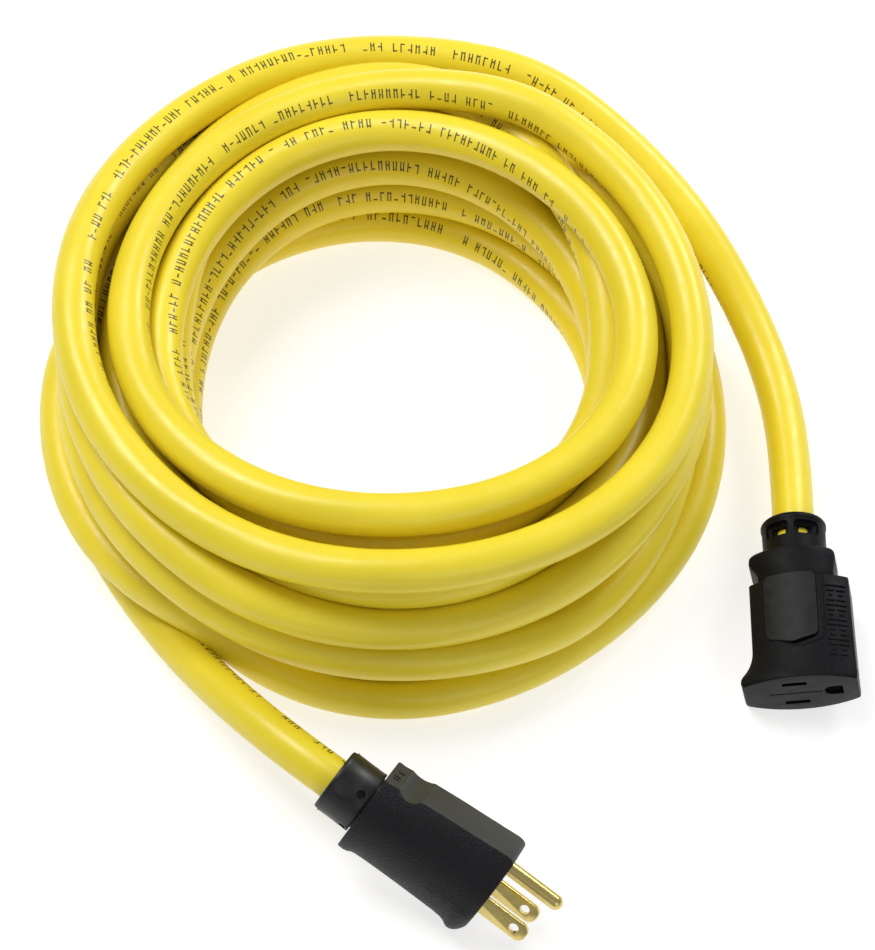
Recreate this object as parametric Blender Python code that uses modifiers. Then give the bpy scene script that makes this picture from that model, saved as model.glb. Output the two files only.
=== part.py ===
"""A coiled three-core extension cord with a moulded plug and a moulded connector.

Metres, +Z up, resting on Z = 0. The plug and the connector are each built in a frame of their
own: +X runs along the cord and out of the mating face, +Z points to the earth pin's side, and Y
runs across the two flat blades. An empty then carries each end to its place beside the coil.
"""

from math import cos, pi, radians, sin

import bmesh
import bpy
from mathutils import Matrix, Vector

MM = 0.001
GAP = 0.3 * MM

# Cord: 10 AWG, three cores
CORD_RADIUS = 6.8 * MM
CORE_RADIUS = 2.25 * MM
STRAND_RADIUS = 1.4 * MM
CORE_CIRCLE = 2.85 * MM

# Coil, as one ring round all its turns
COIL_CENTRE = Vector((-20.3, 34.9, 0)) * MM
RING_SHIFT = 6.0 * MM
RING_OUTER = 110 * MM
RING_INNER = 63 * MM
RING_HEIGHT = 74 * MM

# Blade pattern of a 15 A, 125 V straight-blade plug
BLADE_SPACING = 12.7 * MM
EARTH_OFFSET = 11.9 * MM
BLADE_WIDTH = 6.35 * MM
BLADE_THICKNESS = 1.5 * MM
BLADE_LENGTH = 16.2 * MM
BLADE_HOLE_RADIUS = 1.6 * MM
BLADE_HOLE_AT = 11.7 * MM
EARTH_RADIUS = 2.4 * MM
EARTH_LENGTH = 19.6 * MM

# Moulded ends
FLAT = 14 * MM
CROWN = 5 * MM
COLLAR_RADIUS = 10.6 * MM
COLLAR_LENGTH = 12.6 * MM
PLUG_LENGTH = 46 * MM
CONNECTOR_LENGTH = 36 * MM
SHOULDER_LENGTH = 11 * MM
SOCKET_SHIFT = -2.3 * MM

# Where each end lies, measured from the coil's centre: place, heading, pitch down and roll
PLUG_PLACE = Vector((32.1, -171.5, 14.4)) * MM
PLUG_TURN = (radians(-34), radians(15), radians(-40))
CONNECTOR_PLACE = Vector((131.8, -102.3, 12.6)) * MM
CONNECTOR_TURN = (radians(-90), 0, radians(-79))

# Free cord between the coil and each end, hand-laid points measured from the coil's centre
PLUG_LEAD = [
    (-56, -99.5, 17.6), (-54, -101.9, 19), (-42.9, -115.7, 25.8), (-32.2, -126.8, 29.9),
    (-21.8, -135.7, 30.9),
]
CONNECTOR_LEAD = [
    (91, 82, 35), (105, 66, 26.5), (115, 50, 19), (123, 34, 13.5), (129, 17, 11), (132, 0, 10.8),
    (132.5, -18, 11.6), (132, -33, 12.4),
]


def clear_scene():
    for obj in list(bpy.data.objects):
        bpy.data.objects.remove(obj, do_unlink=True)


def material(name, colour, roughness, metallic=0.0):
    made = bpy.data.materials.new(name)
    made.use_nodes = True
    shader = made.node_tree.nodes["Principled BSDF"]
    shader.inputs["Base Color"].default_value = (*colour, 1)
    shader.inputs["Roughness"].default_value = roughness
    shader.inputs["Metallic"].default_value = metallic
    made.diffuse_color = (*colour, 1)
    return made


def place_empty(name, place, turn):
    """The frame of one end. turn is its heading, its pitch down and its roll."""
    empty = bpy.data.objects.new(name, None)
    bpy.context.collection.objects.link(empty)
    heading, pitch, roll = turn
    empty.matrix_world = (
        Matrix.Translation(COIL_CENTRE + place)
        @ Matrix.Rotation(heading, 4, "Z")
        @ Matrix.Rotation(pitch, 4, "Y")
        @ Matrix.Rotation(roll, 4, "X")
    )
    return empty


def add(name, shape, finish, parent=None):
    """Makes shape, a bmesh, into a named object, in its parent's own frame."""
    bmesh.ops.remove_doubles(shape, verts=shape.verts, dist=1e-6)
    bmesh.ops.recalc_face_normals(shape, faces=shape.faces)
    mesh = bpy.data.meshes.new(name)
    shape.to_mesh(mesh)
    shape.free()
    obj = bpy.data.objects.new(name, mesh)
    bpy.context.collection.objects.link(obj)
    if finish:
        mesh.materials.append(finish)
    if parent:
        obj.parent = parent
    return obj


def loft(rings):
    """A closed skin over rings of points, with a flat cap at each end."""
    shape = bmesh.new()
    loops = [[shape.verts.new(point) for point in ring] for ring in rings]
    count = len(rings[0])
    for first, second in zip(loops, loops[1:]):
        for i in range(count):
            j = (i + 1) % count
            shape.faces.new((first[i], first[j], second[j], second[i]))
    shape.faces.new(reversed(loops[0]))
    shape.faces.new(loops[-1])
    return shape


def barrel(x, low, high, flat=FLAT, crown=CROWN, steps=8):
    """A moulding's cross-section at x: two flat narrow sides and two crowned wide faces."""
    ring = []
    for side in (1, -1):
        for i in range(steps + 1):
            t = i / steps
            y = side * (flat / 2 + crown * sin(pi * t))
            z = high + (low - high) * t if side == 1 else low + (high - low) * t
            ring.append((x, y, z))
    return ring


def block(along, low, high, flat, crown):
    """A straight run of one such section, between two places on X."""
    return loft([barrel(x, low, high, flat, crown) for x in along])


def box(low, high):
    shape = bmesh.new()
    size = [b - a for a, b in zip(low, high)]
    middle = [(a + b) / 2 for a, b in zip(low, high)]
    bmesh.ops.create_cube(
        shape, size=1, matrix=Matrix.Translation(middle) @ Matrix.Diagonal((*size, 1))
    )
    return shape


def rod(start, end, radius, sides=24):
    """A cylinder between two points."""
    start, end = Vector(start), Vector(end)
    turn = (end - start).to_track_quat("Z", "Y").to_matrix().to_4x4()
    shape = bmesh.new()
    bmesh.ops.create_cone(
        shape, cap_ends=True, segments=sides, radius1=radius, radius2=radius,
        depth=(end - start).length, matrix=Matrix.Translation((start + end) / 2) @ turn,
    )
    return shape


def turned(name, profile, finish, parent=None, steps=32, axis="X"):
    """A profile of (along, radius) points, closed into a ring and turned round its axis."""
    shape = bmesh.new()
    points = [(a, 0, r) if axis == "X" else (r, 0, a) for a, r in profile]
    loop = [shape.verts.new(point) for point in points]
    for first, second in zip(loop, loop[1:] + loop[:1]):
        shape.edges.new((first, second))
    mesh = bpy.data.meshes.new(name)
    shape.to_mesh(mesh)
    shape.free()
    obj = bpy.data.objects.new(name, mesh)
    bpy.context.collection.objects.link(obj)
    mesh.materials.append(finish)
    obj.parent = parent
    screw = obj.modifiers.new("turn", "SCREW")
    screw.axis = axis
    screw.steps = screw.render_steps = steps
    screw.use_merge_vertices = True
    screw.merge_threshold = 0.00001
    screw.use_smooth_shade = False
    return obj


def boolean(obj, shape, operation="DIFFERENCE"):
    """Cuts shape from obj, or joins it on. The cutter stays in its own hidden collection."""
    tools = bpy.data.collections.get("cutters")
    if tools is None:
        tools = bpy.data.collections.new("cutters")
        tools.hide_render = True
        bpy.context.scene.collection.children.link(tools)
    cutter = add(f"{obj.name}_cutter", shape, None, obj.parent)
    bpy.context.collection.objects.unlink(cutter)
    tools.objects.link(cutter)
    cutter.hide_render = True
    cutter.display_type = "WIRE"
    step = obj.modifiers.new(operation.lower(), "BOOLEAN")
    step.operation = operation
    step.solver = "EXACT"
    step.object = cutter


def frames_along(points):
    """A position and two cross directions at each point of a path."""
    points = [Vector(point) for point in points]
    up = Vector((0, 0, 1))
    for i, point in enumerate(points):
        ahead = points[min(i + 1, len(points) - 1)] - points[max(i - 1, 0)]
        side = ahead.cross(up).normalized()
        yield point, side, side.cross(ahead).normalized()


def rings_along(points, radius, sides):
    """A ring of points round each point of a path."""
    angles = [2 * pi * k / sides for k in range(sides)]
    return [
        [point + radius * (cos(a) * side + sin(a) * rise) for a in angles]
        for point, side, rise in frames_along(points)
    ]


def sleeve(points, outer, inner, sides=14):
    """A tube with a wall, along a path."""
    outside, inside = rings_along(points, outer, sides), rings_along(points, inner, sides)
    shape = bmesh.new()
    skins = [[shape.verts.new(p) for p in ring] for ring in outside + inside[::-1]]
    for first, second in zip(skins, skins[1:] + skins[:1]):
        for i in range(sides):
            j = (i + 1) % sides
            shape.faces.new((first[i], first[j], second[j], second[i]))
    return shape


def solid_tube(points, radius, sides=14):
    return loft(rings_along(points, radius, sides))


def lead(name, points, end, finish):
    """Free cord from the coil, through hand-laid points, into the end's strain relief."""
    curve = bpy.data.curves.new(name, "CURVE")
    curve.dimensions = "3D"
    curve.bevel_depth = CORD_RADIUS
    curve.bevel_resolution = 4
    curve.use_fill_caps = True
    path = [COIL_CENTRE + Vector(point) * MM for point in points] + end
    spline = curve.splines.new("POLY")
    spline.points.add(len(path) - 1)
    for slot, point in zip(spline.points, path):
        slot.co = (*point, 1)
    curve.materials.append(finish)
    obj = bpy.data.objects.new(name, curve)
    bpy.context.collection.objects.link(obj)
    return obj


def cores(end, jacket_end, crimps, finishes, strands, empty):
    """The three insulated cores and their copper, from the cut jacket to the crimp barrels."""
    for name, crimp in crimps.items():
        crimp = Vector(crimp)
        # Each core leaves the jacket on the side that its own barrel is on
        angle = 0 if crimp.y == 0 else radians(120 if crimp.y > 0 else -120)
        start = Vector(
            (jacket_end + 4 * GAP, CORE_CIRCLE * sin(angle), CORE_CIRCLE * cos(angle))
        )
        bare = crimp - Vector((1.2 * MM, 0, 0))
        route = []
        for t in (k / 9 for k in range(10)):
            across = t * t * (3 - 2 * t)
            route.append(Vector((
                start.x + (bare.x - start.x) * t,
                start.y + (bare.y - start.y) * across,
                start.z + (bare.z - start.z) * across,
            )))
        add(f"{end}_{name}_insulation", sleeve(route, CORE_RADIUS, STRAND_RADIUS + 0.2 * MM),
            finishes[name], empty)
        add(f"{end}_{name}_copper", solid_tube(route + [crimp + Vector((4.5 * MM, 0, 0))],
            STRAND_RADIUS), strands, empty)


def crimp_barrel(x, y, z, length=6 * MM):
    """The open crimp tube behind a blade or contact: its outside, and the bore cut from it."""
    outer = STRAND_RADIUS + 0.95 * MM
    return (
        rod((x - length, y, z), (x, y, z), outer, 20),
        rod((x - length - MM, y, z), (x - 1 * MM, y, z), STRAND_RADIUS + 0.25 * MM, 20),
    )


def flat_blade(name, y, finish, empty):
    """A flat blade with a round nose, its hole and a crimp barrel behind."""
    half, thick = BLADE_WIDTH / 2, BLADE_THICKNESS / 2
    back = -15 * MM
    nose_centre = BLADE_LENGTH - half
    outline = [(back, -half), *(
        (nose_centre + half * sin(a), -half * cos(a)) for a in (pi * k / 10 for k in range(11))
    ), (back, half)]
    rings = [[(x, y + side * thick, z) for x, z in outline] for side in (-1, 1)]
    blade = add(name, loft(rings), finish, empty)
    barrel_shape, bore = crimp_barrel(back + 0.6 * MM, y, 0)
    boolean(blade, barrel_shape, "UNION")
    boolean(blade, bore)
    hole = rod((BLADE_HOLE_AT, y - 3 * MM, 0), (BLADE_HOLE_AT, y + 3 * MM, 0),
               BLADE_HOLE_RADIUS, 16)
    boolean(blade, hole)
    return (back + 0.6 * MM - 6 * MM, y, 0)


def plug_parts(finish, empty):
    black, hard, brass = finish["black"], finish["hard"], finish["brass"]
    half_spacing = BLADE_SPACING / 2

    # Overmoulded body: rear ears, a waist for the fingers, and a flare at the front
    stations = [
        (-46, -14, 14.5), (-43, -14, 14.5), (-40.5, -12.7, 14.9), (-30, -12.3, 16.2),
        (-16, -12.2, 17.6), (-8, -12.3, 18.3), (-5.5, -13, 18.6), (-4.5, -14, 18.7),
        (-2.6, -14, 18.8), (-1, -13, 18.5), (0, -11.2, 17.2),
    ]
    rings = [barrel(x * MM, low * MM, high * MM) for x, low, high in stations]
    body = add("plug_body", loft(rings), black, empty)
    scoop = Vector((-37.5, 0, 20.5)) * MM
    across = Vector((0, 20, 0)) * MM
    boolean(body, rod(scoop - across, scoop + across, 7.5 * MM))
    boolean(body, rod((-60 * MM, 0, 0), (-29 * MM, 0, 0), 9.4 * MM))
    boolean(body, block((-31 * MM, 5 * MM), -9.6 * MM, 15.2 * MM, 11 * MM, 4.2 * MM))

    # Strain relief: a collar round the jacket, locked in the body by a flange
    rear = -PLUG_LENGTH - GAP
    bore, outer = CORD_RADIUS + GAP, COLLAR_RADIUS
    relief = turned("plug_strain_relief", [
        (rear - COLLAR_LENGTH, bore), (rear - COLLAR_LENGTH, outer - 0.8 * MM),
        (rear - COLLAR_LENGTH + 0.8 * MM, outer), (rear, outer), (rear, 9 * MM),
        (-37 * MM, 9 * MM), (-37 * MM, bore),
    ], black, empty)
    for side in (-1, 1):
        low = (rear - 9.2 * MM, 1.6 * MM, side * 5 * MM if side == 1 else -12 * MM)
        high = (rear - 5.6 * MM, 12 * MM, 12 * MM if side == 1 else -5 * MM)
        boolean(relief, box(low, high))
        boolean(relief, box((low[0], -high[1], low[2]), (high[0], -low[1], high[2])))

    # Inner bridge that holds the blades at their spacing
    bridge = add("plug_inner_bridge", block(
        (-12 * MM, 0), -9.3 * MM, 14.9 * MM, 10.4 * MM, 4.2 * MM), hard, empty)
    for y in (half_spacing, -half_spacing):
        boolean(bridge, box(
            (-14 * MM, y - BLADE_THICKNESS / 2 - GAP, -BLADE_WIDTH / 2 - GAP),
            (2 * MM, y + BLADE_THICKNESS / 2 + GAP, BLADE_WIDTH / 2 + GAP)))
    boolean(bridge, rod((-14 * MM, 0, EARTH_OFFSET), (2 * MM, 0, EARTH_OFFSET),
                        EARTH_RADIUS + GAP / 3))

    # Blades and earth pin, each with its crimp barrel
    crimps = {
        "line": flat_blade("line_blade", half_spacing, brass, empty),
        "neutral": flat_blade("neutral_blade", -half_spacing, brass, empty),
    }
    tip = EARTH_LENGTH - EARTH_RADIUS
    dome = [pi / 12 * k for k in range(6)]
    pin_rings = [
        [(x, r * cos(a), EARTH_OFFSET + r * sin(a)) for a in (2 * pi * k / 20 for k in range(20))]
        for x, r in [(-14 * MM, EARTH_RADIUS)] + [
            (tip + EARTH_RADIUS * sin(a), EARTH_RADIUS * cos(a)) for a in dome
        ]
    ]
    pin = add("ground_pin", loft(pin_rings), brass, empty)
    barrel_shape, bore_shape = crimp_barrel(-13 * MM, 0, EARTH_OFFSET)
    boolean(pin, barrel_shape, "UNION")
    boolean(pin, bore_shape)
    crimps["ground"] = (-19 * MM, 0, EARTH_OFFSET)

    jacket_end = -40 * MM
    cores("plug", jacket_end, crimps, finish, finish["copper"], empty)
    return jacket_end


def spring_contact(name, y, z, opening, width, finish, empty):
    """Two spring leaves on a web, with a crimp barrel behind."""
    thick = 0.6 * MM
    front, back = -4 * MM, -20 * MM
    half = opening / 2 + thick
    contact = add(name, box((back, y - half, z - width / 2), (front, y + half, z + width / 2)),
                  finish, empty)
    boolean(contact, box((back + thick, y - opening / 2, z - width), (1 * MM, y + opening / 2,
                                                                     z + width)))
    barrel_shape, bore = crimp_barrel(back + thick * 0.6, y, z, 5.5 * MM)
    boolean(contact, barrel_shape, "UNION")
    boolean(contact, bore)
    return (back + thick * 0.6 - 5.5 * MM, y, z)


def connector_parts(finish, empty):
    black, hard, brass = finish["black"], finish["hard"], finish["brass"]
    half_spacing = BLADE_SPACING / 2
    blade_z, earth_z = SOCKET_SHIFT, SOCKET_SHIFT + EARTH_OFFSET

    # Overmoulded body with the thumb pad on its wide face and a flare at the front
    stations = [
        (-36, -14.8, 16.9), (-12, -14.8, 17.4), (-8.5, -15.4, 17.5), (-5, -17.2, 17.6),
        (-2.4, -19, 17.7), (-1.2, -19, 17.7), (0, -17.6, 17.3),
    ]
    rings = [barrel(x * MM, low * MM, high * MM) for x, low, high in stations]
    body = add("connector_body", loft(rings), black, empty)
    boolean(body, rod((-50 * MM, 0, 0), (-29 * MM, 0, 0), 9.4 * MM))
    boolean(body, block((-33 * MM, 5 * MM), -11.5 * MM, 14.5 * MM, 11.6 * MM, 4.2 * MM))

    # Strain relief: shoulder block and collar in one moulding, with a flange in the body
    shoulder = -CONNECTOR_LENGTH - GAP
    rings = [
        barrel(shoulder - SHOULDER_LENGTH, -12.6 * MM, 11.8 * MM, 13 * MM, 4 * MM),
        barrel(shoulder - SHOULDER_LENGTH + 1.6 * MM, -14.6 * MM, 13 * MM, 13 * MM, 4.6 * MM),
        barrel(shoulder - SHOULDER_LENGTH + 4 * MM, -14.6 * MM, 13 * MM, 13 * MM, 4.8 * MM),
        barrel(shoulder - 2 * MM, -12 * MM, 12.4 * MM, 13 * MM, 4.8 * MM),
        barrel(shoulder, -12 * MM, 12.4 * MM, 13 * MM, 4.8 * MM),
    ]
    relief = add("connector_strain_relief", loft(rings), black, empty)
    rear = shoulder - SHOULDER_LENGTH
    boolean(relief, rod((rear - COLLAR_LENGTH, 0, 0), (rear + 3 * MM, 0, 0), COLLAR_RADIUS, 32),
            "UNION")
    boolean(relief, rod((shoulder - 3 * MM, 0, 0), (-34.5 * MM, 0, 0), 9 * MM, 32), "UNION")
    boolean(relief, rod((rear - COLLAR_LENGTH - 5 * MM, 0, 0), (-20 * MM, 0, 0),
                        CORD_RADIUS + GAP, 32))
    for y_low, y_high in ((-12, -2.2), (2.2, 12)):
        for z_low, z_high in ((-9, -3.2), (3.2, 9)):
            boolean(relief, box((rear - 8.4 * MM, y_low * MM, z_low * MM),
                                (rear - 5 * MM, y_high * MM, z_high * MM)))

    # Contact housing: the hard face with its slots, and a chamber behind each
    housing = add("contact_housing", block(
        (-23 * MM, 0), -11.2 * MM, 14.2 * MM, 11 * MM, 4.2 * MM), hard, empty)
    for y in (half_spacing, -half_spacing):
        boolean(housing, box((-26 * MM, y - 2.65 * MM, blade_z - 3.7 * MM),
                             (-2.5 * MM, y + 2.65 * MM, blade_z + 3.7 * MM)))
        boolean(housing, box((-4 * MM, y - 1.1 * MM, blade_z - 3.9 * MM),
                             (3 * MM, y + 1.1 * MM, blade_z + 3.9 * MM)))
    boolean(housing, box((-26 * MM, -3.5 * MM, earth_z - 3.4 * MM),
                         (-2.5 * MM, 3.5 * MM, earth_z + 3.4 * MM)))
    arc = [(2.8 * cos(a), -2.8 * sin(a)) for a in (pi * k / 10 for k in range(11))]
    outline = [(2.8, 3.0), *((y, z - 0.2) for y, z in arc), (-2.8, 3.0)]
    rings = [[(x * MM, y * MM, earth_z + z * MM) for y, z in outline] for x in (-4, 3)]
    boolean(housing, loft(rings))

    # Spring contacts, each with its crimp barrel
    crimps = {
        "line": spring_contact("line_contact", -half_spacing, blade_z, 1.3 * MM, 6 * MM, brass,
                               empty),
        "neutral": spring_contact("neutral_contact", half_spacing, blade_z, 1.3 * MM, 6 * MM,
                                  brass, empty),
        "ground": spring_contact("ground_contact", 0, earth_z, 4.9 * MM, 5.6 * MM, brass, empty),
    }
    jacket_end = -38.6 * MM
    cores("connector", jacket_end, crimps, finish, finish["copper"], empty)
    return jacket_end


def coil(finish):
    """All the turns as one ring, flat on the floor."""
    soft = 16 * MM
    corners = [
        (RING_INNER, 0), (RING_OUTER, 0), (RING_OUTER, RING_HEIGHT), (RING_INNER, RING_HEIGHT),
    ]
    profile = []
    for i, (r, z) in enumerate(corners):
        centre_r = r + (soft if r == RING_INNER else -soft)
        centre_z = z + (soft if z == 0 else -soft)
        for k in range(4):
            angle = pi * (1 + i * 0.5) + k * pi / 6
            profile.append((centre_z + soft * sin(angle), centre_r + soft * cos(angle)))
    ring = turned("cord_coil", profile[::-1], finish, None, 56, "Z")
    ring.location = COIL_CENTRE + Vector((0, RING_SHIFT, 0))
    return ring


clear_scene()
finishes = {
    "black": material("black_pvc", (0.015, 0.015, 0.016), 0.55),
    "hard": material("hard_black_pvc", (0.02, 0.02, 0.021), 0.45),
    "brass": material("brass", (0.72, 0.55, 0.2), 0.28, 1.0),
    "copper": material("copper_strand", (0.72, 0.36, 0.2), 0.35, 1.0),
    "yellow": material("yellow_jacket", (0.86, 0.74, 0.03), 0.38),
    "line": material("black_core", (0.02, 0.02, 0.02), 0.5),
    "neutral": material("white_core", (0.8, 0.8, 0.78), 0.5),
    "ground": material("green_core", (0.02, 0.32, 0.08), 0.5),
}
plug_frame = place_empty("plug_frame", PLUG_PLACE, PLUG_TURN)
connector_frame = place_empty("connector_frame", CONNECTOR_PLACE, CONNECTOR_TURN)
plug_jacket = plug_parts(finishes, plug_frame)
connector_jacket = connector_parts(finishes, connector_frame)
coil(finishes["yellow"])

plug_entry = [plug_frame.matrix_world @ Vector((x, 0, 0)) for x in (-60 * MM, plug_jacket)]
lead("plug_lead", PLUG_LEAD, plug_entry, finishes["yellow"])
connector_entry = [
    connector_frame.matrix_world @ Vector((x, 0, 0)) for x in (-62 * MM, connector_jacket)
]
lead("connector_lead", CONNECTOR_LEAD, connector_entry, finishes["yellow"])
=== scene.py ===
"""A hand-coiled three-core extension cord with a moulded plug and a moulded connector.

Metres, +Z up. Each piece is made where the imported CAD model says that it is.
"""

from math import asin, atan2, cos, pi, radians, sin

import bmesh
import bpy
import numpy as np
from mathutils import Matrix, Vector


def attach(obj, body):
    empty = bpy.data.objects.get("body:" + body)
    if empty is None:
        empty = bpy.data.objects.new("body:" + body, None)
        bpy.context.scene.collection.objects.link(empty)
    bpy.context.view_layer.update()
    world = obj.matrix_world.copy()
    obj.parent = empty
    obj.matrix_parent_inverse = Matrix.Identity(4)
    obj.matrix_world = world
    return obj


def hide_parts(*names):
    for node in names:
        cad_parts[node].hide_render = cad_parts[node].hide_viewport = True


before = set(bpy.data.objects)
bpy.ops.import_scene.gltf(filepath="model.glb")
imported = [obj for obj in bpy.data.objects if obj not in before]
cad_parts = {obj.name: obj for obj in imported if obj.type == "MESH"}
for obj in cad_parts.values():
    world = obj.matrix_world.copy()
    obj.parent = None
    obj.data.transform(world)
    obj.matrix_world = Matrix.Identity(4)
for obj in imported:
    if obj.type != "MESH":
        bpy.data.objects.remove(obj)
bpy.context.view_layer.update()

# ---- Studio ---------------------------------------------------------------------------------
# A white light-table floor, lit from above and behind by one soft light. One at the right draws
# the edges of the black mouldings, and a weak one fills the front. The camera looks down at 60
# degrees.
MM = 0.001
COIL_CENTRE = Vector((-20.3, 34.9, 0)) * MM

camera_data = bpy.data.cameras.new("camera")
camera_data.lens = 123.9
camera_data.sensor_width = 36
camera = bpy.data.objects.new("camera", camera_data)
camera.location = COIL_CENTRE + Vector((16.5, -558, 939)) * MM
camera.rotation_euler = (radians(30), 0, 0)
bpy.context.scene.collection.objects.link(camera)
bpy.context.scene.camera = camera
bpy.context.scene.view_settings.view_transform = "Standard"

world = bpy.data.worlds.new("studio")
world.use_nodes = True
world.node_tree.nodes["Background"].inputs["Color"].default_value = (1, 1, 1, 1)
world.node_tree.nodes["Background"].inputs["Strength"].default_value = 0.34
bpy.context.scene.world = world

for name, place, aim, size, power in (
    ("key_light", (-0.45, 0.35, 1.2), (0, 0, 0.03), 0.55, 10.6),
    ("edge_light", (0.62, 0.62, 0.6), (0.05, -0.08, 0.03), 0.35, 4.2),
    ("front_fill", (0.5, -1.2, 0.8), (0, 0, 0.03), 0.8, 2.4),
):
    lamp = bpy.data.lights.new(name, "AREA")
    lamp.shape = "SQUARE"
    lamp.size = size
    lamp.energy = power
    light = bpy.data.objects.new(name, lamp)
    light.location = place
    light.rotation_euler = (Vector(aim) - Vector(place)).to_track_quat("-Z", "Y").to_euler()
    bpy.context.scene.collection.objects.link(light)

floor_shape = bmesh.new()
bmesh.ops.create_grid(floor_shape, x_segments=1, y_segments=1, size=3)
floor_mesh = bpy.data.meshes.new("floor")
floor_shape.to_mesh(floor_mesh)
floor_shape.free()
floor = bpy.data.objects.new("floor", floor_mesh)
floor_paint = bpy.data.materials.new("floor_paint")
floor_paint.use_nodes = True
floor_shader = floor_paint.node_tree.nodes["Principled BSDF"]
floor_shader.inputs["Base Color"].default_value = (0.5, 0.5, 0.5, 1)
floor_shader.inputs["Roughness"].default_value = 0.9
floor_shader.inputs["Specular IOR Level"].default_value = 0.0
floor_shader.inputs["Emission Color"].default_value = (1, 1, 1, 1)
floor_shader.inputs["Emission Strength"].default_value = 0.66
floor_mesh.materials.append(floor_paint)
bpy.context.scene.collection.objects.link(floor)

# ---- Cord -----------------------------------------------------------------------------------
# One 10 AWG three-core cord, 13.6 mm across in a soft yellow PVC jacket. It leaves the plug,
# lies in 13 turns around a hand-wound coil, and runs down off the top into the connector.
CORD = 13.6 * MM
PLUG_PLACE = Vector((32.1, -171.5, 14.4)) * MM
CONNECTOR_PLACE = Vector((131.8, -102.3, 12.6)) * MM


def end_frame(place, heading, pitch, roll):
    """Where an end lies: +X runs out of its mating face and +Z points to its earth side."""
    return (
        Matrix.Translation(COIL_CENTRE + place)
        @ Matrix.Rotation(radians(heading), 4, "Z")
        @ Matrix.Rotation(radians(pitch), 4, "Y")
        @ Matrix.Rotation(radians(roll), 4, "X")
    )


plug_frame = end_frame(PLUG_PLACE, -34, 15, -40)
connector_frame = end_frame(CONNECTOR_PLACE, -90, 0, -79)

# Each turn's radius and height in cord diameters, at the front, left, back and right
TURNS = [
    ((7.60, 0.5), (7.60, 0.5), (8.05, 0.5), (7.60, 0.5)),
    ((7.50, 0.5), (7.85, 1.5), (7.05, 0.6), (6.55, 0.5)),
    ((6.40, 0.5), (6.30, 0.5), (6.10, 0.6), (5.55, 0.5)),
    ((5.40, 0.5), (5.10, 1.35), (6.30, 1.7), (6.10, 1.45)),
    ((7.10, 1.4), (7.40, 2.4), (8.05, 1.45), (7.30, 1.4)),
    ((7.15, 2.35), (7.45, 3.3), (7.70, 2.5), (7.40, 2.4)),
    ((6.10, 2.3), (5.30, 2.3), (6.20, 3.2), (5.40, 2.6)),
    ((5.30, 3.1), (5.20, 3.3), (7.30, 3.5), (7.20, 3.4)),
    ((6.90, 3.25), (7.30, 4.2), (8.30, 3.3), (6.30, 3.4)),
    ((6.60, 4.1), (6.45, 3.9), (7.80, 4.5), (5.40, 4.0)),
    ((5.40, 4.2), (5.40, 4.2), (6.05, 4.8), (6.00, 4.6)),
    ((5.10, 5.1), (6.10, 4.9), (7.00, 4.9), (7.30, 4.4)),
    ((6.50, 5.0), (7.35, 5.0), (8.60, 4.1)),
]
# Where outer turns rise over the plug's lead: how many quarter turns along, and by how much
HUMPS = ((4.40, 0.8), (16.40, 0.7), (20.42, 0.6), (32.42, 0.4))
PLUG_LEAD = [
    (-21.8, -135.7, 30.9), (-32.2, -126.8, 29.9), (-42.9, -115.7, 25.8), (-54.0, -101.9, 19.0),
    (-64.5, -87.8, 11.6), (-74.9, -72.1, 6.8), (-83.2, -60.7, 6.8), (-89.1, -51.4, 6.8),
    (-94.5, -41.1, 6.8), (-100, -29.1, 6.8),
]
CONNECTOR_LEAD = [
    (40, 112, 52), (70, 98, 43), (90, 82, 35), (105, 66, 26.5), (115, 50, 19), (123, 34, 13.5),
    (129, 17, 11), (132, 0, 10.8), (132.5, -18, 11.8),
]


def eased(values, at):
    """A smooth line through equally spaced values that never overshoots them."""
    values = np.array(values)
    step = np.diff(values)
    slope = np.zeros_like(values)
    slope[0], slope[-1] = step[0], step[-1]
    product, total = step[1:] * step[:-1], step[1:] + step[:-1]
    slope[1:-1] = np.where(product > 0, 2 * product / np.where(total == 0, 1, total), 0)
    i = np.clip(at.astype(int), 0, len(values) - 2)
    t = at - i
    return (
        (2 * t**3 - 3 * t**2 + 1) * values[i] + (t**3 - 2 * t**2 + t) * slope[i]
        + (3 * t**2 - 2 * t**3) * values[i + 1] + (t**3 - t**2) * slope[i + 1]
    )


def spaced(line, step):
    """The same line through points a step apart."""
    along = np.r_[0, np.cumsum(np.linalg.norm(np.diff(line, axis=0), axis=1))]
    at = np.linspace(0, along[-1], int(round(along[-1] / step)) + 1)
    return np.stack([np.interp(at, along, line[:, k]) for k in range(3)], axis=1)


def softened(line, times):
    """Each point moved halfway to the middle of its neighbours, a few times."""
    for _ in range(times):
        line[1:-1] += 0.5 * ((line[:-2] + line[2:]) / 2 - line[1:-1])
    return line


def hand_laid():
    """The whole route before it settles, in cord diameters from the coil's centre."""
    stations = np.array([station for turn in TURNS for station in turn])
    at = np.arange(1, len(stations) - 1, 0.02)
    radius, height = eased(stations[:, 0], at), eased(stations[:, 1], at)
    for where, lift in HUMPS:
        height = height + lift * np.exp(-(((at - where) / 0.26) ** 2))
    angle = at * pi / 2
    turns = np.stack([-radius * np.sin(angle), -radius * np.cos(angle), height], axis=1)
    inside_plug = [plug_frame @ Vector((x * MM, 0, 0)) for x in (-40, -50, -60)]
    inside_connector = [connector_frame @ Vector((x * MM, 0, 0)) for x in (-60, -50, -38.6)]
    start = [(p - COIL_CENTRE) / CORD for p in inside_plug]
    start += [Vector(p) * MM / CORD for p in PLUG_LEAD]
    end = [Vector(p) * MM / CORD for p in CONNECTOR_LEAD]
    end += [(p - COIL_CENTRE) / CORD for p in inside_connector]
    line = np.concatenate([[tuple(p) for p in start], turns, [tuple(p) for p in end]])
    return spaced(softened(spaced(line, 0.25), 40), 0.5)


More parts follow.
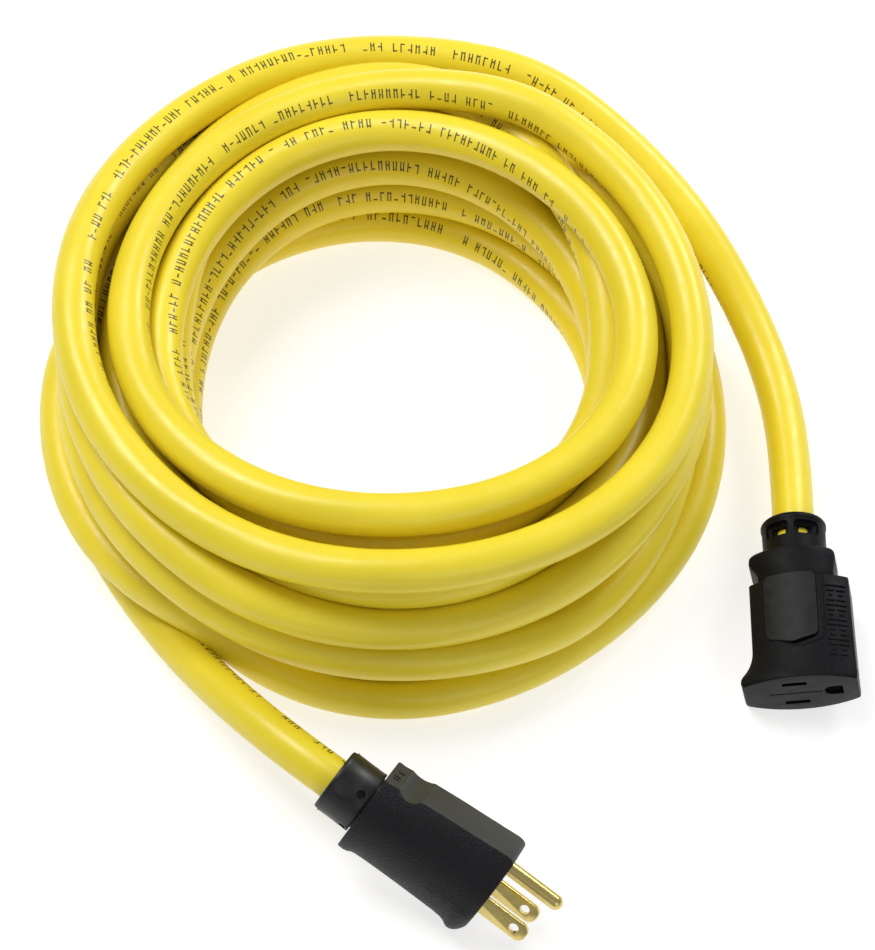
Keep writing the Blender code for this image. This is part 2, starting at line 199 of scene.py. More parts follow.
def settled(line, rounds=500):
    """The turns pressed apart until they touch, under their own weight, on the floor."""
    home, step = line.copy(), 0.5
    along = np.arange(len(line)) * step
    held = (along < 17) | (along > along[-1] - 11)
    free = ~held
    bend = home[1:-1] - (home[:-2] + home[2:]) / 2
    for k in range(rounds):
        if k % 10 == 0:
            apart = np.linalg.norm(line[:, None] - line[None], axis=2)
            first, second = np.nonzero(np.triu(apart < 1.35, 5))
        line[free, 2] -= 0.002
        line[free] += (0.003 if k > 0.7 * rounds else 0.02) * (home - line)[free]
        ease = 0.3 * ((line[:-2] + line[2:]) / 2 + bend - line[1:-1])
        ease[held[1:-1]] = 0
        line[1:-1] += ease
        between = line[second] - line[first]
        far = np.linalg.norm(between, axis=1)
        near = far < 1
        i, j = first[near], second[near]
        push = ((1 - far[near]) / far[near] * 0.25)[:, None] * between[near]
        move, count = np.zeros_like(line), np.zeros(len(line))
        np.add.at(move, i, -push)
        np.add.at(move, j, push)
        np.add.at(count, i, 1)
        np.add.at(count, j, 1)
        move[held] = 0
        line += 1.3 * move / np.sqrt(np.maximum(count, 1))[:, None]
        line[:, 2] = np.maximum(line[:, 2], 0.5)
    return line


route = settled(hand_laid())
fine = spaced(softened(spaced(route, 0.25), 2), 0.28)
route_points = [COIL_CENTRE + Vector(p) * CORD for p in fine]

cord_curve = bpy.data.curves.new("cord_jacket", "CURVE")
cord_curve.dimensions = "3D"
cord_curve.twist_mode = "Z_UP"
cord_curve.bevel_depth = CORD / 2
cord_curve.bevel_resolution = 10
cord_curve.use_fill_caps = True
spline = cord_curve.splines.new("POLY")
spline.points.add(len(route_points) - 1)
polar = np.unwrap(np.arctan2(-fine[:, 0], -fine[:, 1]))
for k, (slot, point, angle) in enumerate(zip(spline.points, route_points, polar)):
    slot.co = (*point, 1)
    # The printed line faces up at the back and left of the coil, and down at the front right,
    # and near the plug it shows along the lead's inner side
    turned_down = (1 - cos(angle - radians(150))) * pi / 2 + 0.35 * sin(angle * 0.37)
    on_lead = min(1.0, max(0.0, 1.8 - k / 60))
    slot.tilt = -pi / 2 + turned_down * (1 - on_lead) + 0.62 * on_lead
curve_object = bpy.data.objects.new("cord_curve", cord_curve)
bpy.context.scene.collection.objects.link(curve_object)
bpy.context.view_layer.update()
jacket_mesh = bpy.data.meshes.new_from_object(
    curve_object.evaluated_get(bpy.context.evaluated_depsgraph_get())
)
bpy.data.objects.remove(curve_object)
jacket_mesh.name = "cord_jacket"
# The curve leaves the discs at its two ends loose, so they are merged with the tube
jacket_shape = bmesh.new()
jacket_shape.from_mesh(jacket_mesh)
bmesh.ops.remove_doubles(jacket_shape, verts=jacket_shape.verts, dist=1e-6)
bmesh.ops.recalc_face_normals(jacket_shape, faces=jacket_shape.faces)
jacket_shape.to_mesh(jacket_mesh)
jacket_shape.free()
jacket_mesh.shade_smooth()
cord_jacket = bpy.data.objects.new("cord_jacket", jacket_mesh)
bpy.context.scene.collection.objects.link(cord_jacket)


def finish(name, colour, roughness, metallic=0.0, specular=0.5):
    """A material, a maker of nodes in it whose inputs may be links, and a link to its shader."""
    made = bpy.data.materials.new(name)
    made.use_nodes = True
    tree = made.node_tree
    shader = tree.nodes["Principled BSDF"]
    shader.inputs["Base Color"].default_value = (*colour, 1)
    shader.inputs["Roughness"].default_value = roughness
    shader.inputs["Metallic"].default_value = metallic
    shader.inputs["Specular IOR Level"].default_value = specular

    def node(kind, inputs=(), **settings):
        added = tree.nodes.new("ShaderNode" + kind)
        for key, value in settings.items():
            setattr(added, key, value)
        for key, value in dict(inputs).items():
            if isinstance(value, bpy.types.NodeSocket):
                tree.links.new(value, added.inputs[key])
            else:
                added.inputs[key].default_value = value
        return added

    def join(output, socket):
        tree.links.new(output, shader.inputs[socket])

    return made, node, join


def bumped(node, join, heights):
    """Bump from a list of (height, strength, distance in metres), one on the other."""
    normal = {}
    for height, strength, distance in heights:
        inputs = {"Height": height, "Strength": strength, "Distance": distance, **normal}
        normal = {"Normal": node("Bump", inputs).outputs["Normal"]}
    join(normal["Normal"], "Normal")


def ramp(node, value, low, high, to_low=0.0, to_high=1.0):
    """The value carried over from low..high to to_low..to_high, and held beyond both ends."""
    return node("MapRange", {
        "Value": value, "From Min": low, "From Max": high, "To Min": to_low, "To Max": to_high,
    }).outputs["Result"]


def calc(node, operation, a, b=0.0):
    return node("Math", {0: a, 1: b}, operation=operation).outputs["Value"]


def grain(node, scale, detail=2):
    """Noise of one size all through the piece."""
    place = node("TexCoord").outputs["Object"]
    return node("TexNoise", {"Vector": place, "Scale": scale, "Detail": detail}).outputs["Fac"]


def blend(node, amount, first, second):
    """One colour that goes over into another as the amount goes from 0 to 1."""
    colours = {"Fac": amount, "Color1": (*first, 1), "Color2": (*second, 1)}
    return node("MixRGB", colours).outputs["Color"]


def between(node, value, low, high, soft):
    """1 where value is from low to high, with soft edges."""
    rise = ramp(node, value, low - soft, low + soft)
    fall = ramp(node, value, high + soft, high - soft)
    return calc(node, "MULTIPLY", rise, fall)


# Yellow jacket, with its line of printed marks. They are bars and dashes, and spell nothing.
MARKS_ALONG = 2850
CORE_LAYS_ALONG = 58
yellow, node, join = finish("yellow_jacket", (0.9, 0.7, 0.02), 0.34)
strip = node("SeparateXYZ", {0: node("UVMap", uv_map="UVMap").outputs["UV"]})
mark_at = calc(node, "MULTIPLY", strip.outputs["X"], MARKS_ALONG)
mark = calc(node, "FLOOR", mark_at)
across = calc(node, "FRACT", mark_at)
off_line = calc(node, "SUBTRACT", strip.outputs["Y"], 0.5)
lots = node("TexWhiteNoise", {"W": mark}, noise_dimensions="1D").outputs["Color"]
chance = node("SeparateColor", {0: lots})
pause = node("TexWhiteNoise", {"W": calc(node, "ADD", mark, 0.5)}, noise_dimensions="1D")
stems = [
    calc(node, "MULTIPLY", between(node, across, low, low + 0.17, 0.03),
         calc(node, "GREATER_THAN", chance.outputs[colour], least))
    for colour, low, least in (("Red", 0.12, 0.25), ("Green", 0.52, 0.42))
]
dash_at = ramp(node, chance.outputs["Blue"], 0, 1, -0.034, 0.034)
dash = calc(node, "MULTIPLY", between(node, across, 0.12, 0.69, 0.03),
            between(node, calc(node, "SUBTRACT", off_line, dash_at), -0.006, 0.006, 0.002))
glyph = calc(node, "MAXIMUM", calc(node, "MAXIMUM", *stems), dash)
glyph = calc(node, "MULTIPLY", glyph, between(node, off_line, -0.038, 0.038, 0.002))
glyph = calc(node, "MULTIPLY", glyph, calc(node, "GREATER_THAN", pause.outputs["Value"], 0.21))
glyph = calc(node, "MULTIPLY", glyph, ramp(node, grain(node, 700), 0.28, 0.38, 0.6, 0.97))
tone = ramp(node, grain(node, 30, 3), 0.3, 0.7)
pigment = blend(node, tone, (0.81, 0.65, 0.027), (0.87, 0.705, 0.035))
printed = node("MixRGB", {"Fac": glyph, "Color1": pigment, "Color2": (0.02, 0.018, 0.012, 1)})
join(printed.outputs["Color"], "Base Color")
join(ramp(node, grain(node, 220, 4), 0.3, 0.7, 0.29, 0.42), "Roughness")
# The three laid-up cores show through as a faint, long helix
along_lay = calc(node, "MULTIPLY", strip.outputs["X"], 2 * pi * CORE_LAYS_ALONG)
round_lay = calc(node, "MULTIPLY", strip.outputs["Y"], 2 * pi * 3)
helix = calc(node, "SINE", calc(node, "ADD", along_lay, round_lay))
bumped(node, join, [
    (helix, 0.5, 0.00022), (grain(node, 75, 1), 0.4, 0.0009), (grain(node, 1800, 3), 0.4, 0.0001),
])
cord_jacket.data.materials.clear()
cord_jacket.data.materials.append(yellow)
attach(cord_jacket, "root")
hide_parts("cord_coil", "plug_lead", "connector_lead")

# ---- Plug body ------------------------------------------------------------------------------
# The black PVC moulded over the cord's end: two crowned wide faces with a leather grain, two
# flat narrow sides, a rear ear, a thumb scoop and a flared front. It hides the crimps.
# The blades stand 12.7 mm apart, half of it on each side of the middle
half_pitch = 12.7 / 2
black, node, join = finish("black_pvc", (0.007, 0.007, 0.009), 0.42, specular=0.24)
place = node("TexCoord").outputs["Object"]
pebbles = node(
    "TexVoronoi", {"Vector": place, "Scale": 1900, "Smoothness": 0.5}, feature="SMOOTH_F1"
).outputs["Distance"]
crease = node(
    "TexNoise", {"Vector": place, "Scale": 3300, "Detail": 3, "Roughness": 0.6}
).outputs["Fac"]
bumped(node, join, [(pebbles, 0.9, 0.00016), (crease, 0.7, 0.00013)])
join(ramp(node, grain(node, 160, 3), 0.3, 0.7, 0.34, 0.44), "Roughness")
dust = ramp(node, crease, 0.5, 0.8)
join(blend(node, dust, (0.005, 0.005, 0.006), (0.014, 0.014, 0.02)), "Base Color")

satin, node, join = finish("satin_black_pvc", (0.01, 0.01, 0.01), 0.4, specular=0.4)
haze = grain(node, 260, 4)
join(ramp(node, haze, 0.3, 0.7, 0.33, 0.47), "Roughness")
bumped(node, join, [(grain(node, 3200), 0.4, 0.00004), (haze, 0.15, 0.0002)])
faded = ramp(node, haze, 0.3, 0.7)
join(blend(node, faded, (0.008, 0.008, 0.008), (0.014, 0.014, 0.014)), "Base Color")

# The plain finish of the narrow sides and of the ear. Its grey is painted light: a lighter black
# than the wide faces, for the light that those sides catch.
narrow_lit_black, node, join = finish("narrow_painted_lit_pvc", (0.036, 0.038, 0.037), 0.5, specular=0.3)
sand = grain(node, 2600, 3)
dust = ramp(node, sand, 0.35, 0.7)
join(blend(node, dust, (0.03, 0.032, 0.031), (0.044, 0.047, 0.046)), "Base Color")
join(ramp(node, sand, 0.3, 0.7, 0.44, 0.58), "Roughness")
bumped(node, join, [(sand, 0.35, 0.00005)])


def points_in(made):
    """The points among the parts that a bmesh step made."""
    return [part for part in made if isinstance(part, bmesh.types.BMVert)]


def crowned_ring(shape, x, low, high, flat, crown):
    """The closed outline of a moulding at x: an arc for each wide face, a line for each side."""
    half = (high - low) / 2
    radius = (half * half + crown * crown) / (2 * crown)
    start = shape.verts.new((x, flat / 2, high))
    centre = (x, flat / 2 + crown - radius, (high + low) / 2)
    bmesh.ops.spin(
        shape, geom=[start], cent=centre, axis=(-1, 0, 0), angle=2 * asin(half / radius),
        steps=14, use_duplicate=False,
    )
    arc = list(shape.verts)
    other = points_in(bmesh.ops.duplicate(shape, geom=arc + list(shape.edges))["geom"])
    bmesh.ops.scale(shape, vec=(1, -1, 1), verts=other)
    for pick in (max, min):
        shape.edges.new((pick(arc, key=lambda v: v.co.z), pick(other, key=lambda v: v.co.z)))
    return list(shape.edges)


def lofted(stations, flat=14.0, crown=5.0):
    """The first ring drawn out through (x, low z, high z), and capped at both ends."""
    shape = bmesh.new()
    x, low, high = stations[0]
    edges = crowned_ring(shape, x, low, high, flat, crown)
    bmesh.ops.edgeloop_fill(shape, edges=edges)
    for x2, low2, high2 in stations[1:]:
        drawn = bmesh.ops.extrude_edge_only(shape, edges=edges)["geom"]
        ring = points_in(drawn)
        edges = [part for part in drawn if isinstance(part, bmesh.types.BMEdge)]
        edges = [edge for edge in edges if all(point in ring for point in edge.verts)]
        pivot = Matrix.Translation((0, 0, -low))
        bmesh.ops.scale(shape, vec=(1, 1, (high2 - low2) / (high - low)), space=pivot, verts=ring)
        bmesh.ops.translate(shape, vec=(x2 - x, 0, low2 - low), verts=ring)
        x, low, high = x2, low2, high2
    bmesh.ops.edgeloop_fill(shape, edges=edges)
    bmesh.ops.recalc_face_normals(shape, faces=shape.faces)
    return shape


def eased_edges(shape, offset, least=28, segments=3):
    """Rounds every edge that turns by more than least degrees."""
    sharp = [e for e in shape.edges if e.is_manifold and e.calc_face_angle() > radians(least)]
    bmesh.ops.bevel(
        shape, geom=sharp, offset=offset, offset_type="OFFSET", affect="EDGES", segments=segments,
        profile=0.5, material=-1, clamp_overlap=True,
    )
    return shape


def brick(low, high):
    """A box between two opposite corners."""
    shape = bmesh.new()
    size, middle = Vector(high) - Vector(low), (Vector(high) + Vector(low)) / 2
    placing = Matrix.Translation(middle) @ Matrix.Diagonal((*size, 1))
    bmesh.ops.create_cube(shape, size=1, matrix=placing)
    return shape


def rod(start, end, radius, sides=40):
    """A cylinder from one point to another."""
    start, end = Vector(start), Vector(end)
    turn = (end - start).to_track_quat("Z", "Y").to_matrix().to_4x4()
    shape = bmesh.new()
    bmesh.ops.create_cone(
        shape, cap_ends=True, segments=sides, radius1=radius, radius2=radius,
        depth=(end - start).length, matrix=Matrix.Translation((start + end) / 2) @ turn,
    )
    return shape


def as_object(name, shape, finishes):
    """An object of the shape, closed and facing outward, with its finishes."""
    bmesh.ops.remove_doubles(shape, verts=shape.verts, dist=1e-4)
    bmesh.ops.recalc_face_normals(shape, faces=shape.faces)
    mesh = bpy.data.meshes.new(name)
    shape.to_mesh(mesh)
    shape.free()
    made = bpy.data.objects.new(name, mesh)
    bpy.context.scene.collection.objects.link(made)
    for paint in finishes:
        mesh.materials.append(paint)
    return made


def placed(name, shape, end, finishes, cuts=(), joins=(), within=(), finish_of=None):
    """The piece in its end's own frame, in millimetres, cut and joined, then put in its place."""
    made = as_object(name, shape, finishes)
    helpers = []
    for operation, shapes in (("UNION", joins), ("INTERSECT", within), ("DIFFERENCE", cuts)):
        for other in shapes:
            tool = as_object(name + "_tool", other, finishes)
            helpers.append(tool)
            step = made.modifiers.new(operation.lower(), "BOOLEAN")
            step.operation, step.solver, step.object = operation, "EXACT", tool
    bpy.context.view_layer.update()
    shown = made.evaluated_get(bpy.context.evaluated_depsgraph_get())
    mesh = bpy.data.meshes.new_from_object(shown)
    made.modifiers.clear()
    made.data = mesh
    mesh.name = name
    for tool in helpers:
        bpy.data.objects.remove(tool)
    if finish_of:
        for face in mesh.polygons:
            face.material_index = finish_of(face)
    mesh.transform(end @ Matrix.Scale(MM, 4))
    mesh.shade_smooth()
    mesh.set_sharp_from_angle(angle=radians(35))
    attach(made, "root")
    return made


plug_stations = (
    (-46, -13.6, 14.1), (-45.6, -14, 14.5), (-43.6, -14, 14.5), (-42.6, -13.7, 14.6),
    (-41.4, -13, 14.8), (-40, -12.7, 15), (-36, -12.45, 15.5), (-30, -12.3, 16.2),
    (-23, -12.2, 17), (-16, -12.2, 17.6), (-11, -12.2, 18.1), (-8.2, -12.4, 18.3),
    (-6.6, -12.9, 18.5), (-5.6, -13.6, 18.6), (-4.6, -14, 18.7), (-3.4, -13.8, 18.8),
    (-2.3, -13.1, 18.8), (-1.3, -12, 18.6), (-0.5, -10.6, 18.1), (0, -9.2, 17.4),
)
seam = brick((-17, -11.99, -4.1), (-0.8, -11.7, -3.98))
ear_dents = [
    brick((x, y, 14.2), (x + 2.2, y + 0.7, 18))
    for x, y in ((-44.6, -3.2), (-44.6, -1.7), (-44.2, 1.4))
]
thumb_scoop = rod((-37.4, -20, 19.2), (-37.4, 20, 19.2), 5.5, 64)
plug_rear_bore = rod((-60, 0, 0), (-29, 0, 0), 9.4)
plug_hollow = lofted([(-31, -9.6, 15.2), (5, -9.6, 15.2)], 11, 4.2)


def plug_finish(face):
    """The leather grain, or 1 for the plain finish of the narrow sides and of the ear, whose grey
    is painted lighter for the light that those sides catch.
    """
    on_ear = face.center.z > 13.4 and abs(face.normal.y) < 0.3
    return int(abs(face.normal.z) > 0.8 or on_ear)


plug_body = placed(
    "plug_body_moulding", eased_edges(lofted(plug_stations), 0.55), plug_frame, (black, narrow_lit_black),
    cuts=[thumb_scoop, plug_rear_bore, plug_hollow, *ear_dents], joins=[seam],
    finish_of=plug_finish,
)
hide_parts("plug_body")

# ---- Plug strain relief ---------------------------------------------------------------------
# A smooth collar in one moulding with a flange that the body locks round. Small blind windows
# and holes in it let it bend with the cord.


def turned(profile, steps=48):
    """A closed outline of (x, radius) turned round the cord's axis."""
    shape = bmesh.new()
    ring = [shape.verts.new((x, 0, r)) for x, r in profile]
    edges = [shape.edges.new(pair) for pair in zip(ring, ring[1:] + ring[:1])]
    bmesh.ops.spin(
        shape, geom=ring + edges, cent=(0, 0, 0), axis=(1, 0, 0), angle=2 * pi, steps=steps,
        use_merge=True, use_duplicate=False,
    )
    bmesh.ops.remove_doubles(shape, verts=shape.verts, dist=1e-3)
    bmesh.ops.recalc_face_normals(shape, faces=shape.faces)
    return shape


def swung(shape, angle):
    """The shape turned round the cord's axis by an angle in degrees."""
    turn = Matrix.Rotation(radians(angle), 3, "X")
    bmesh.ops.rotate(shape, cent=(0, 0, 0), matrix=turn, verts=shape.verts)
    return shape


def window(x, angle, wide, long, inner=6.9):
    """A cutter for one window in a collar, at an angle round it from the earth side."""
    opening = brick((x, -wide / 2, inner), (x + long, wide / 2, inner + 6))
    return swung(eased_edges(opening, min(wide, long) / 4), angle)


def hole_at(x, angle):
    """A cutter for a round hole 2.8 mm across, placed as a window is."""
    return swung(rod((x, 0, 8), (x, 0, 13), 1.4, 28), angle)


plug_rear = -46.3
plug_collar_profile = [(plug_rear + x, radius) for x, radius in (
    (-12.6, 7.1), (-12.6, 10.1), (-12.4, 10.5), (-12, 10.7), (-11, 10.7), (-10.4, 10.5),
    (-5, 10.45), (-0.4, 10.6), (0, 10.4), (0, 9), (9.3, 9), (9.3, 7.1),
)]
collar_dents = [hole_at(plug_rear - 2.9, angle) for angle in (54, -126)]
for x, angle, wide, long, inner in (
    (-3.2, 142, 5, 2.2, 8.2), (-3.2, -38, 5, 2.2, 8.2), (-9.4, 80, 0.5, 2.6, 10.2),
    (-12.7, 152, 7, 1.6, 9.2), (-12.7, -28, 7, 1.6, 9.2),
):
    collar_dents.append(window(plug_rear + x, angle, wide, long, inner))
plug_relief = placed(
    "plug_collar", turned(plug_collar_profile), plug_frame, (satin,), cuts=collar_dents
)
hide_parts("plug_strain_relief")

# ---- Blades and earth pin -------------------------------------------------------------------
# Stamped brass blades with round noses and a hole each, and a round earth pin with a domed
# tip. All three run back through the bridge to a crimp barrel on their own core.
brass, node, join = finish("brass", (0.8, 0.6, 0.22), 0.24, metallic=1.0)
along_plug = plug_frame.to_3x3().inverted().to_euler()
place = node("TexCoord").outputs["Object"]
lengthwise = node(
    "Mapping", {"Vector": place, "Rotation": along_plug, "Scale": (40, 900, 900)},
    vector_type="POINT",
).outputs["Vector"]
brushed = node("TexNoise", {"Vector": lengthwise, "Scale": 1, "Detail": 3}).outputs["Fac"]
tarnish = ramp(node, grain(node, 110), 0.35, 0.75)
join(blend(node, tarnish, (0.7, 0.57, 0.21), (0.65, 0.52, 0.18)), "Base Color")
join(ramp(node, brushed, 0.3, 0.7, 0.24, 0.28), "Roughness")


def crimp(x, y, z):
    """A crimp barrel whose front is at x: the tube, and the bore cut from it."""
    return rod((x - 6, y, z), (x, y, z), 2.35, 28), rod((x - 7, y, z), (x - 1, y, z), 1.65, 28)


def rounded(shape, corners, radius, segments):
    """Rounds corners of a flat outline."""
    bmesh.ops.bevel(
        shape, geom=corners, offset=radius, offset_type="OFFSET", affect="VERTICES",
        segments=segments, profile=0.5, material=-1, clamp_overlap=True,
    )


def drawn_out(shape, way):
    """The flat outline drawn out into a solid."""
    made = bmesh.ops.extrude_face_region(shape, geom=list(shape.faces))["geom"]
    bmesh.ops.translate(shape, vec=way, verts=points_in(made))
    bmesh.ops.recalc_face_normals(shape, faces=shape.faces)
    return shape


def stamped_blade(y):
    """A blade 6.35 mm wide and 1.5 mm thick, from x -15 to 16.2, with its round nose."""
    shape = bmesh.new()
    bmesh.ops.create_grid(shape, x_segments=1, y_segments=1, size=1)
    bmesh.ops.scale(shape, vec=(15.6, 6.35 / 2, 1), verts=shape.verts)
    bmesh.ops.translate(shape, vec=(0.6, 0, 0), verts=shape.verts)
    swung(shape, 90)
    rounded(shape, [v for v in shape.verts if v.co.x > 0], 2.7, 10)
    drawn_out(shape, (0, 1.5, 0))
    bmesh.ops.translate(shape, vec=(0, y - 1.5 / 2, 0), verts=shape.verts)
    return eased_edges(shape, 0.22, 50, 2)


for name, side in (("line_blade", 1), ("neutral_blade", -1)):
    y = side * half_pitch
    tube, bore = crimp(-14.4, y, 0)
    hole = rod((11.7, y - 3, 0), (11.7, y + 3, 0), 1.6)
    blade = placed(
        name + "_stamping", stamped_blade(y), plug_frame, (brass,), joins=[tube], cuts=[bore, hole]
    )
    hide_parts(name)

# The pin's half width, its tip and how far it stands from the blades' centre line
pin_radius, pin_tip, pin_out = 2.4, 19.6, 11.9
dome = [
    (pin_tip - pin_radius * (1 - sin(a)), pin_radius * cos(a))
    for a in (k * pi / 20 for k in range(10))
]
pin_shape = turned([(-14, 0.001), (-14, pin_radius), *dome, (pin_tip, 0.001)], 36)
bmesh.ops.translate(pin_shape, vec=(0, 0, pin_out), verts=pin_shape.verts)
tube, bore = crimp(-13, 0, pin_out)
pin = placed("ground_pin_turning", pin_shape, plug_frame, (brass,), joins=[tube], cuts=[bore])
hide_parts("ground_pin")

# ---- Connector body -------------------------------------------------------------------------
# The moulded connector: a squarer body with a raised thumb pad and its groove on each wide
# face, fine ribs along one edge for grip, and a flare at the blade side of its front.
dull, node, join = finish("dull_black_pvc", (0.004, 0.004, 0.005), 0.5, specular=0.1)
matte = grain(node, 2800, 3)
dust = ramp(node, matte, 0.4, 0.75)
join(blend(node, dust, (0.003, 0.003, 0.004), (0.009, 0.009, 0.011)), "Base Color")
join(ramp(node, grain(node, 180), 0.3, 0.7, 0.42, 0.56), "Roughness")
bumped(node, join, [(matte, 0.6, 0.00009)])

pad_black, node, join = finish("pad_black_pvc", (0.01, 0.011, 0.011), 0.46, specular=0.16)
rub = grain(node, 300, 4)
worn = ramp(node, rub, 0.35, 0.7)
join(blend(node, worn, (0.008, 0.009, 0.009), (0.015, 0.016, 0.016)), "Base Color")
join(ramp(node, rub, 0.3, 0.7, 0.4, 0.54), "Roughness")
bumped(node, join, [(rub, 0.3, 0.0001)])

# Heights of the two blade slots and of the earth hole in the connector's face
socket = -2.3
earth = socket + pin_out
connector_stations = (
    (-36, -14.4, 16.5), (-35.6, -14.8, 16.9), (-20, -14.8, 17.2), (-12, -14.8, 17.4),
    (-10.4, -14.95, 17.4), (-8.8, -15.3, 17.5), (-7, -15.95, 17.5), (-5.2, -17, 17.6),
    (-3.8, -18.2, 17.6), (-2.8, -18.8, 17.7), (-1.6, -19, 17.7), (-0.6, -18.7, 17.6),
    (0, -17.9, 17.2),
)


def pentagon(size, tip_out, low, high):
    """The thumb pad's outline, drawn out across the body from low to high."""
    rear_x, front_x, half_wide, middle = -36.6, -14.6 + size, 8.3 + size, -1.6
    shape = bmesh.new()
    corners = [
        (rear_x, middle - half_wide), (front_x, middle - half_wide), (front_x + tip_out, middle),
        (front_x, middle + half_wide), (rear_x, middle + half_wide),
    ]
    face = shape.faces.new([shape.verts.new((x, low, z)) for x, z in corners])
    rounded(shape, [v for v in face.verts if v.co.x > rear_x], 1.6, 6)
    return drawn_out(shape, (0, high - low, 0))


pad_wells = [pentagon(1.1, 2.6, low, high) for low, high in ((-14, -10.9), (10.9, 14))]
pads = [pentagon(0, 2.4, low, high) for low, high in ((-14, -10), (10, 14))]


def face_at(z):
    """How far out the body's wide face is at z, and how far it leans there."""
    middle, half, flat, crown = 1.3, 16.1, 14, 5
    radius = (half * half + crown * crown) / (2 * crown)
    lean = asin((z - middle) / radius)
    return flat / 2 + crown - radius + radius * cos(lean), lean


def socket_openings(front, back):
    """Cutters for the two blade slots and the earth hole, with its one round side."""
    slots = [
        eased_edges(brick((back, y - 1.05, socket - 3.9), (front, y + 1.05, socket + 3.9)), 0.15)
        for y in (half_pitch, -half_pitch)
    ]
    hole = bmesh.new()
    round_from = earth - 0.2
    start = hole.verts.new((back, 2.8, round_from))
    bmesh.ops.spin(
        hole, geom=[start], cent=(back, 0, round_from), axis=(-1, 0, 0), angle=pi, steps=12,
        use_duplicate=False,
    )
    ends = sorted(hole.verts, key=lambda v: abs(v.co.z - round_from))[:2]
    top = [hole.verts.new((back, v.co.y, earth + 3)) for v in ends]
    for pair in ((ends[0], top[0]), (ends[1], top[1]), top):
        hole.edges.new(pair)
    bmesh.ops.contextual_create(hole, geom=list(hole.edges))
    return [*slots, drawn_out(hole, (front - back, 0, 0))]


def connector_finish(face):
    """The dull finish, or 1 for the narrow sides in their lighter, painted-light grey, or 2 for
    the front.
    """
    if abs(face.normal.z) > 0.8:
        return 1
    return 2 if face.normal.x > 0.9 else 0


connector_rear_bore = rod((-50, 0, 0), (-29, 0, 0), 9.4)
connector_hollow = lofted([(-33, -11.5, 14.5), (-1.3, -11.5, 14.5)], 11.6, 4.2)
parting_groove = brick((-0.4, -0.32, socket - 8.3), (1, 0.32, socket + 8.3))
connector_body = placed(
    "connector_body_moulding", eased_edges(lofted(connector_stations), 0.6), connector_frame,
    (dull, narrow_lit_black, pad_black), finish_of=connector_finish,
    cuts=[
        *pad_wells, connector_rear_bore, connector_hollow, *socket_openings(1, -3), parting_groove,
    ],
)
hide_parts("connector_body")
# The upper pad stands 0.5 mm proud, and the one that the connector lies on is flush
for shape, name, proud in zip(pads, ("thumb_pad_top", "thumb_pad_under"), (0.5, -0.03)):
    low, high = -14.8 - proud, 17.4 + proud
    skin = lofted([(-37, low, high), (-10, low, high)], 14, 5 + proud)
    placed(name, shape, connector_frame, (pad_black,), within=[skin])

# The thin raised rim round the upper pad's groove, and low ribs of uneven length on both faces
edge_trim = bmesh.new()


def add_to_trim(shape):
    spare = bpy.data.meshes.new("spare")
    shape.to_mesh(spare)
    shape.free()
    edge_trim.from_mesh(spare)
    bpy.data.meshes.remove(spare)


rim_line = ((-35.6, 9.1), (-15.5, 9.1), (-13.4, 8.2), (-12.3, 6.4), (-11, 2.4), (-10.7, -1.6))
rim_points = [(x, 0.05 - face_at(z)[0], z) for x, z in rim_line]
for first, second in zip(rim_points, rim_points[1:]):
    add_to_trim(rod(first, second, 0.28, 12))
for side in (-1, 1):
    for k in range(15):
        for z, least in ((11.1, 0.5), (14.3, 0.7)):
            y, lean = face_at(z)
            long = 1.1 * abs(sin(2.3 * k + z)) + least
            rib = eased_edges(brick((-0.22, -0.25, -long), (0.22, 0.25, long)), 0.08)
            turn = Matrix.Rotation(side * lean, 4, "X")
            spot = Matrix.Translation((-32 + 1.75 * k, side * y, z))
            bmesh.ops.transform(rib, matrix=spot @ turn, verts=rib.verts)
            add_to_trim(rib)
edge_ribs = placed("edge_ribs", edge_trim, connector_frame, (dull,))

# ---- Connector strain relief ----------------------------------------------------------------
# A shoulder block that narrows towards the body and a collar with four windows, in one smooth
# moulding. Its flange is locked in the body.
shoulder = -36.3
shoulder_rear = shoulder - 11
block_stations = [(shoulder_rear + x, low, high) for x, low, high in (
    (0, -12.4, 11.6), (0.7, -13.8, 12.6), (1.6, -14.5, 13), (3.6, -14.6, 13), (5, -14, 12.9),
    (7, -12.6, 12.6), (8.4, -12, 12.4), (11, -11.9, 12.4),
)]
collar_rear = shoulder_rear - 12.6
collar = turned([(collar_rear + x, radius) for x, radius in (
    (0, 6), (0, 9.9), (0.2, 10.3), (0.7, 10.6), (1.7, 10.6), (2.3, 10.3), (9, 10.25), (15, 10.4),
    (15, 6),
)])
flange = rod((shoulder - 3, 0, 0), (-34.5, 0, 0), 9)
cord_way = rod((collar_rear - 5, 0, 0), (-20, 0, 0), 7.1)
window_angles = (60, 120, -60, -120)
windows = [window(shoulder_rear - 8.6, angle, 5.4, 2.6) for angle in window_angles]
recesses = [window(shoulder_rear - 9.8, angle, 8.6, 5, 8) for angle in window_angles]
connector_relief = placed(
    "connector_collar", eased_edges(lofted(block_stations, 13, 4.7), 0.6), connector_frame,
    (dull,), joins=[collar, flange], cuts=[cord_way, *windows, *recesses],
)
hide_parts("connector_strain_relief")

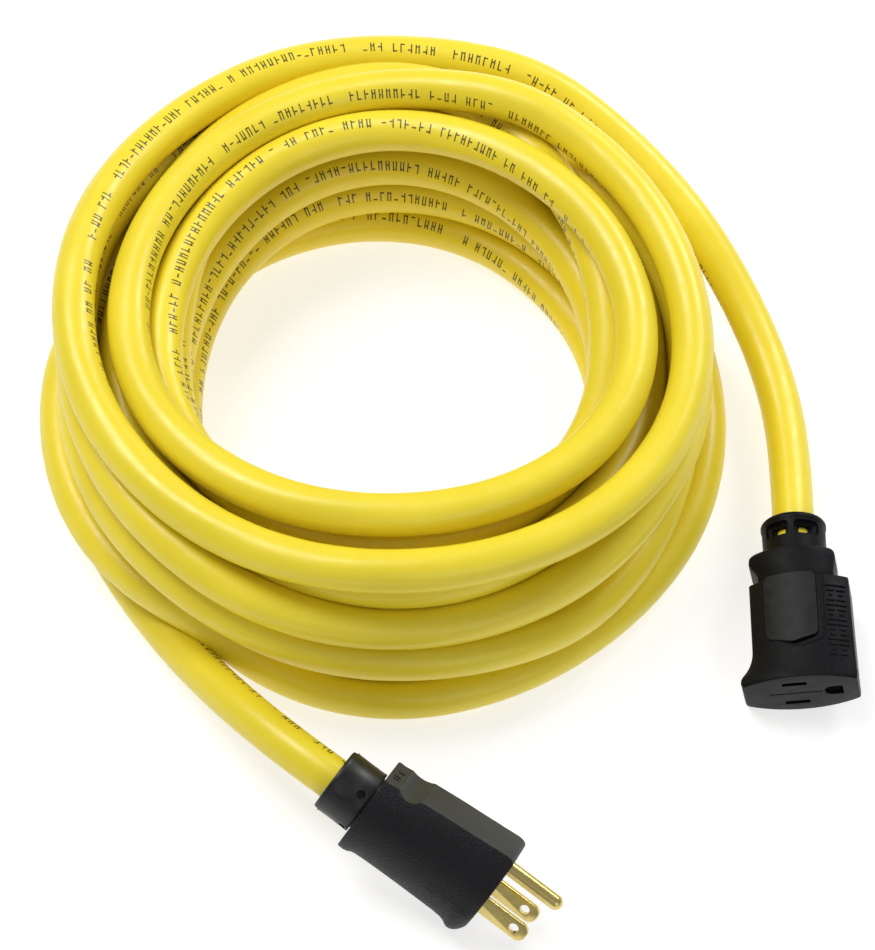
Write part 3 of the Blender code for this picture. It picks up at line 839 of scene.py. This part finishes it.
# ---- Contact housing and inner pieces -------------------------------------------------------
# The hard block behind the connector's face, with a chamber for each spring contact. The
# bridge, contacts, crimps and cores inside both ends stay as the CAD model has them.
hard, node, join = finish("hard_black_pvc", (0.02, 0.02, 0.021), 0.38)
fleck = grain(node, 1800)
join(ramp(node, fleck, 0.3, 0.7, 0.32, 0.46), "Roughness")
bumped(node, join, [(fleck, 0.3, 0.00004)])
chambers = [
    brick((-26, y - 2.65, socket - 3.7), (-3, y + 2.65, socket + 3.7))
    for y in (half_pitch, -half_pitch)
]
chambers.append(brick((-26, -3.5, earth - 3.4), (-3, 3.5, earth + 3.4)))
housing = placed(
    "contact_block", lofted([(-23, -11.2, 14.2), (-1.6, -11.2, 14.2)], 11, 4.2), connector_frame,
    (hard,), cuts=[*chambers, *socket_openings(1, -4)],
)
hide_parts("contact_housing")


def core_finish(name, colour, roughness, metallic=0.0):
    """Insulation or strands: the colour with a fine, slightly darker grain."""
    made, node, join = finish(name, colour, roughness, metallic)
    streak = grain(node, 1500)
    join(blend(node, streak, colour, tuple(0.8 * part for part in colour)), "Base Color")
    join(ramp(node, streak, 0.3, 0.7, roughness - 0.06, roughness + 0.08), "Roughness")
    bumped(node, join, [(streak, 0.2, 0.00004)])
    return made


core_finishes = {
    "line_insulation": core_finish("black_core", (0.02, 0.02, 0.02), 0.45),
    "neutral_insulation": core_finish("white_core", (0.8, 0.8, 0.78), 0.45),
    "ground_insulation": core_finish("green_core", (0.02, 0.32, 0.08), 0.45),
    "copper": core_finish("copper_strand", (0.72, 0.36, 0.2), 0.32, 1.0),
}
inner_finishes = {"plug_inner_bridge": hard, "line_contact": brass, "neutral_contact": brass,
                  "ground_contact": brass}
for end in ("plug", "connector"):
    for core in ("line", "neutral", "ground"):
        inner_finishes[f"{end}_{core}_insulation"] = core_finishes[f"{core}_insulation"]
        inner_finishes[f"{end}_{core}_copper"] = core_finishes["copper"]
for name, paint in inner_finishes.items():
    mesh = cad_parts[name].data
    mesh.materials.clear()
    mesh.materials.append(paint)
